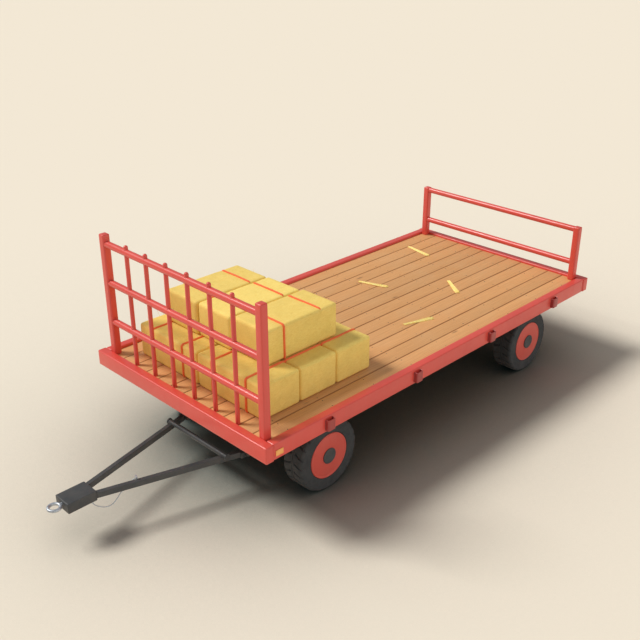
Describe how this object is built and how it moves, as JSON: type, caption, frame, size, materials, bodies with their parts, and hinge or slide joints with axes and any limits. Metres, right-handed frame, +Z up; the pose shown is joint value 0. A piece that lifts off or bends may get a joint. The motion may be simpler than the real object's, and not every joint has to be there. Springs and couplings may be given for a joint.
{
  "type": "four-wheeled hay wagon",
  "caption": "Flat four-wheeled farm wagon with plank deck, front and rear racks, turntable front axle, hinged A-shaped drawbar with tow eye, and a load of hay bales.",
  "frame": {"origin": "on the ground, at the middle of the overall length and width", "axes": "+X forward towards the tow eye, +Y to the wagon's left, +Z up"},
  "size_m": [6.346, 2.52, 2.1335],
  "materials": {
    "red_paint": "semi-gloss red farm enamel",
    "black_paint": "satin black chassis paint",
    "drawbar_paint": "satin charcoal paint",
    "hub_paint": "satin dark grey paint",
    "deck_wood": "oiled softwood planks",
    "hay": "pressed dry hay with orange twine",
    "tyre_rubber": "matt black rubber",
    "orange_reflector": "moulded prismatic plastic",
    "galvanised_steel": "dull galvanised steel",
    "bare_steel": "turned steel, oiled"
  },
  "bodies": {
    "chassis": {"front_beam": "red_paint", "rear_beam": "red_paint", "left_side_rail": "red_paint", "right_side_rail": "red_paint", "deck_planks": "deck_wood", "cross_members": "black_paint", "main_rails": "black_paint", "front_posts": "red_paint", "front_rack_rails": "red_paint", "front_rack_rods": "red_paint", "rear_posts": "red_paint", "rear_rack_rails": "red_paint", "left_stake_pockets": "red_paint", "right_stake_pockets": "red_paint", "side_reflectors": "orange_reflector", "upper_turntable_ring": "black_paint", "rear_spring_rails": "black_paint", "rear_bolsters": "black_paint", "rear_springs": "black_paint", "rear_axle": "black_paint", "lower_bales": "hay", "upper_bales": "hay"},
    "front_bogie": {"lower_turntable_ring": "black_paint", "bogie_bolsters": "black_paint", "bogie_rails": "black_paint", "front_springs": "black_paint", "front_axle": "black_paint", "drawbar_hinge_pins": "bare_steel"},
    "drawbar": {"drawbar_arms": "drawbar_paint", "drawbar_cross_tube": "drawbar_paint", "coupling_box": "drawbar_paint", "tow_eye": "galvanised_steel", "cable_anchors": "drawbar_paint", "safety_cable": "galvanised_steel"},
    "front_left_wheel": {"front_left_tyre": "tyre_rubber", "front_left_rim": "red_paint", "front_left_hub": "hub_paint"},
    "front_right_wheel": {"front_right_tyre": "tyre_rubber", "front_right_rim": "red_paint", "front_right_hub": "hub_paint"},
    "rear_left_wheel": {"rear_left_tyre": "tyre_rubber", "rear_left_rim": "red_paint", "rear_left_hub": "hub_paint"},
    "rear_right_wheel": {"rear_right_tyre": "tyre_rubber", "rear_right_rim": "red_paint", "rear_right_hub": "hub_paint"}
  },
  "joints": [
    {"name": "front_steer", "type": "hinge", "parent": "chassis", "child": "front_bogie", "pos_m": [0.947, 0, 0.6893], "axis": [0, 0, 1], "range_deg": [-90, 90]},
    {"name": "drawbar_tilt", "type": "hinge", "parent": "front_bogie", "child": "drawbar", "pos_m": [1.417, 0, 0.329], "axis": [0, -1, 0], "range_deg": [-10, 16]},
    {"name": "front_left_roll", "type": "hinge", "parent": "front_bogie", "child": "front_left_wheel", "pos_m": [0.947, 0.941, 0.356], "axis": [0, 1, 0], "continuous": true},
    {"name": "front_right_roll", "type": "hinge", "parent": "front_bogie", "child": "front_right_wheel", "pos_m": [0.947, -0.941, 0.356], "axis": [0, 1, 0], "continuous": true},
    {"name": "rear_left_roll", "type": "hinge", "parent": "chassis", "child": "rear_left_wheel", "pos_m": [-2.273, 0.941, 0.356], "axis": [0, 1, 0], "continuous": true},
    {"name": "rear_right_roll", "type": "hinge", "parent": "chassis", "child": "rear_right_wheel", "pos_m": [-2.273, -0.941, 0.356], "axis": [0, 1, 0], "continuous": true}
  ]
}
